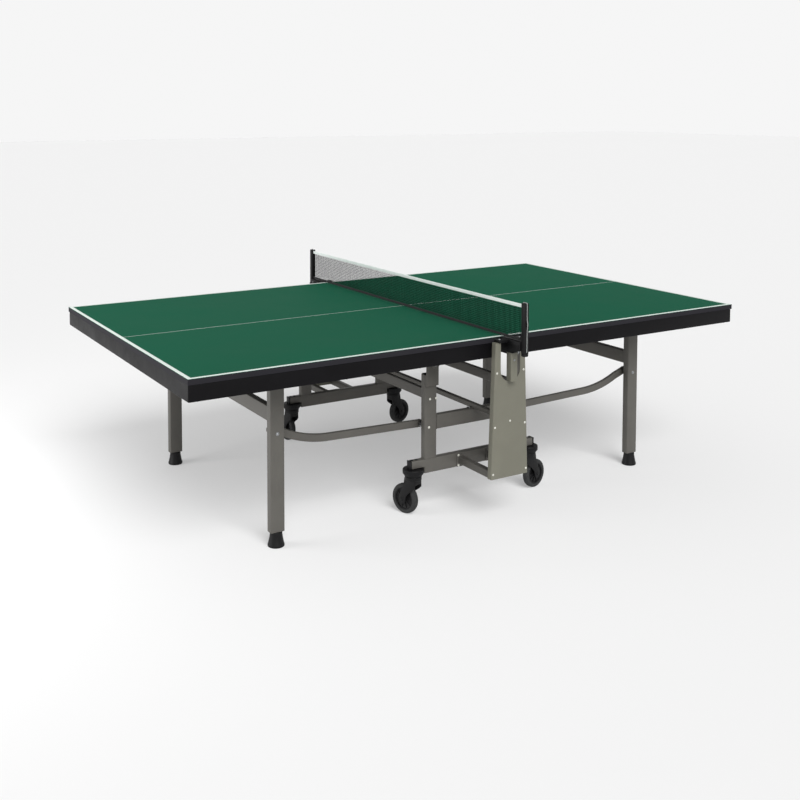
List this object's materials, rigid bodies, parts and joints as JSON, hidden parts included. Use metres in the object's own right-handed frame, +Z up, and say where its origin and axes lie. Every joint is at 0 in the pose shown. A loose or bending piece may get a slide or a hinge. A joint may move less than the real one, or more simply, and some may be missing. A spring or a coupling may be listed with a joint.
{
  "type": "ping pong table",
  "caption": "Folding indoor table-tennis table: green halves with black aprons on a wheeled centre undercarriage, link-driven folding legs, net set.",
  "frame": {"origin": "centre of the table on the floor, under the net", "axes": "+X along the playing length, +Y across the table towards the far side, +Z up"},
  "size_m": [2.74, 1.844, 0.9237],
  "materials": {
    "green_board": "matte rolled playing coat",
    "black_rail": "semi-gloss powder coat",
    "grey_tube": "satin powder coat",
    "grey_sheet": "satin powder coat",
    "zinc_steel": "zinc plated",
    "black_plastic": "moulded, lightly textured",
    "tyre": "matte rubber",
    "net_black": "knotted cord",
    "tape_white": "woven tape",
    "grey_cord": "braided cord"
  },
  "bodies": {
    "undercarriage": {"near_side_frame": "grey_tube", "far_side_frame": "grey_tube", "left_cross_tube": "grey_tube", "right_cross_tube": "grey_tube", "center_tie_bar": "grey_tube", "near_side_panel": "grey_sheet", "far_side_panel": "grey_sheet", "near_left_panel_strut": "grey_tube", "near_right_panel_strut": "grey_tube", "far_left_panel_strut": "grey_tube", "far_right_panel_strut": "grey_tube", "near_left_caster_mount": "black_plastic", "near_right_caster_mount": "black_plastic", "far_left_caster_mount": "black_plastic", "far_right_caster_mount": "black_plastic", "near_net_clamp": "black_plastic", "far_net_clamp": "black_plastic", "near_net_clamp_stem": "grey_sheet", "far_net_clamp_stem": "grey_sheet", "near_net_post": "black_plastic", "far_net_post": "black_plastic", "near_net_cord": "grey_cord", "far_net_cord": "grey_cord", "net_mesh": "net_black", "net_bottom_band": "net_black", "net_top_tape": "tape_white"},
    "left_half": {"left_board": "green_board", "left_apron_frame": "black_rail", "left_pivot_rail": "zinc_steel", "left_hinge_rail": "zinc_steel"},
    "left_legs": {"left_leg_frame": "grey_tube"},
    "left_links": {"near_left_fold_link": "grey_tube", "far_left_fold_link": "grey_tube"},
    "right_half": {"right_board": "green_board", "right_apron_frame": "black_rail", "right_pivot_rail": "zinc_steel", "right_hinge_rail": "zinc_steel"},
    "right_legs": {"right_leg_frame": "grey_tube"},
    "right_links": {"near_right_fold_link": "grey_tube", "far_right_fold_link": "grey_tube"},
    "near_left_foot": {"near_left_foot": "black_plastic"},
    "near_left_caster": {"near_left_caster_fork": "black_plastic"},
    "near_left_wheel": {"near_left_wheel_hub": "black_plastic", "near_left_wheel_tyre": "tyre"},
    "near_right_foot": {"near_right_foot": "black_plastic"},
    "near_right_caster": {"near_right_caster_fork": "black_plastic"},
    "near_right_wheel": {"near_right_wheel_hub": "black_plastic", "near_right_wheel_tyre": "tyre"},
    "far_left_foot": {"far_left_foot": "black_plastic"},
    "far_left_caster": {"far_left_caster_fork": "black_plastic"},
    "far_left_wheel": {"far_left_wheel_hub": "black_plastic", "far_left_wheel_tyre": "tyre"},
    "far_right_foot": {"far_right_foot": "black_plastic"},
    "far_right_caster": {"far_right_caster_fork": "black_plastic"},
    "far_right_wheel": {"far_right_wheel_hub": "black_plastic", "far_right_wheel_tyre": "tyre"}
  },
  "joints": [
    {"name": "left_fold", "type": "hinge", "parent": "undercarriage", "child": "left_half", "pos_m": [-0.216, 0, 0.635], "axis": [0, 1, 0], "range_deg": [0, 90]},
    {"name": "left_leg_hinge", "type": "hinge", "parent": "left_half", "child": "left_legs", "pos_m": [-0.911, 0, 0.715], "axis": [0, 1, 0], "range_deg": [-90, 0]},
    {"name": "left_link_pivot", "type": "hinge", "parent": "undercarriage", "child": "left_links", "pos_m": [-0.236, 0, 0.365], "axis": [0, 1, 0], "range_deg": [0, 90]},
    {"name": "right_fold", "type": "hinge", "parent": "undercarriage", "child": "right_half", "pos_m": [0.216, 0, 0.635], "axis": [0, -1, 0], "range_deg": [0, 90]},
    {"name": "right_leg_hinge", "type": "hinge", "parent": "right_half", "child": "right_legs", "pos_m": [0.911, 0, 0.715], "axis": [0, -1, 0], "range_deg": [-90, 0]},
    {"name": "right_link_pivot", "type": "hinge", "parent": "undercarriage", "child": "right_links", "pos_m": [0.236, 0, 0.365], "axis": [0, -1, 0], "range_deg": [0, 90]},
    {"name": "near_left_foot_screw", "type": "slide", "parent": "left_legs", "child": "near_left_foot", "axis": [0, 0, -1], "range_m": [0, 0.012]},
    {"name": "near_left_swivel", "type": "hinge", "parent": "undercarriage", "child": "near_left_caster", "pos_m": [-0.304, -0.56, 0.17], "axis": [0, 0, 1], "continuous": true},
    {"name": "near_left_wheel_axle", "type": "hinge", "parent": "near_left_caster", "child": "near_left_wheel", "pos_m": [-0.31665, -0.51995, 0.0625], "axis": [-0.9536, -0.3011, 0], "continuous": true},
    {"name": "near_right_foot_screw", "type": "slide", "parent": "right_legs", "child": "near_right_foot", "axis": [0, 0, -1], "range_m": [0, 0.012]},
    {"name": "near_right_swivel", "type": "hinge", "parent": "undercarriage", "child": "near_right_caster", "pos_m": [0.304, -0.56, 0.17], "axis": [0, 0, 1], "continuous": true},
    {"name": "near_right_wheel_axle", "type": "hinge", "parent": "near_right_caster", "child": "near_right_wheel", "pos_m": [0.34515, -0.5516, 0.0625], "axis": [-0.2, 0.9798, 0], "continuous": true},
    {"name": "far_left_foot_screw", "type": "slide", "parent": "left_legs", "child": "far_left_foot", "axis": [0, 0, -1], "range_m": [0, 0.012]},
    {"name": "far_left_swivel", "type": "hinge", "parent": "undercarriage", "child": "far_left_caster", "pos_m": [-0.304, 0.56, 0.17], "axis": [0, 0, 1], "continuous": true},
    {"name": "far_left_wheel_axle", "type": "hinge", "parent": "far_left_caster", "child": "far_left_wheel", "pos_m": [-0.30822, 0.60179, 0.0625], "axis": [-0.9949, -0.1005, 0], "continuous": true},
    {"name": "far_right_foot_screw", "type": "slide", "parent": "right_legs", "child": "far_right_foot", "axis": [0, 0, -1], "range_m": [0, 0.012]},
    {"name": "far_right_swivel", "type": "hinge", "parent": "undercarriage", "child": "far_right_caster", "pos_m": [0.304, 0.56, 0.17], "axis": [0, 0, 1], "continuous": true},
    {"name": "far_right_wheel_axle", "type": "hinge", "parent": "far_right_caster", "child": "far_right_wheel", "pos_m": [0.34531, 0.56759, 0.0625], "axis": [-0.1807, 0.9835, 0], "continuous": true}
  ],
  "couplings": [
    {"joint": "left_leg_hinge", "follows": "left_fold", "ratio": -1},
    {"joint": "left_link_pivot", "follows": "left_fold", "ratio": 1},
    {"joint": "right_leg_hinge", "follows": "right_fold", "ratio": -1},
    {"joint": "right_link_pivot", "follows": "right_fold", "ratio": 1}
  ]
}
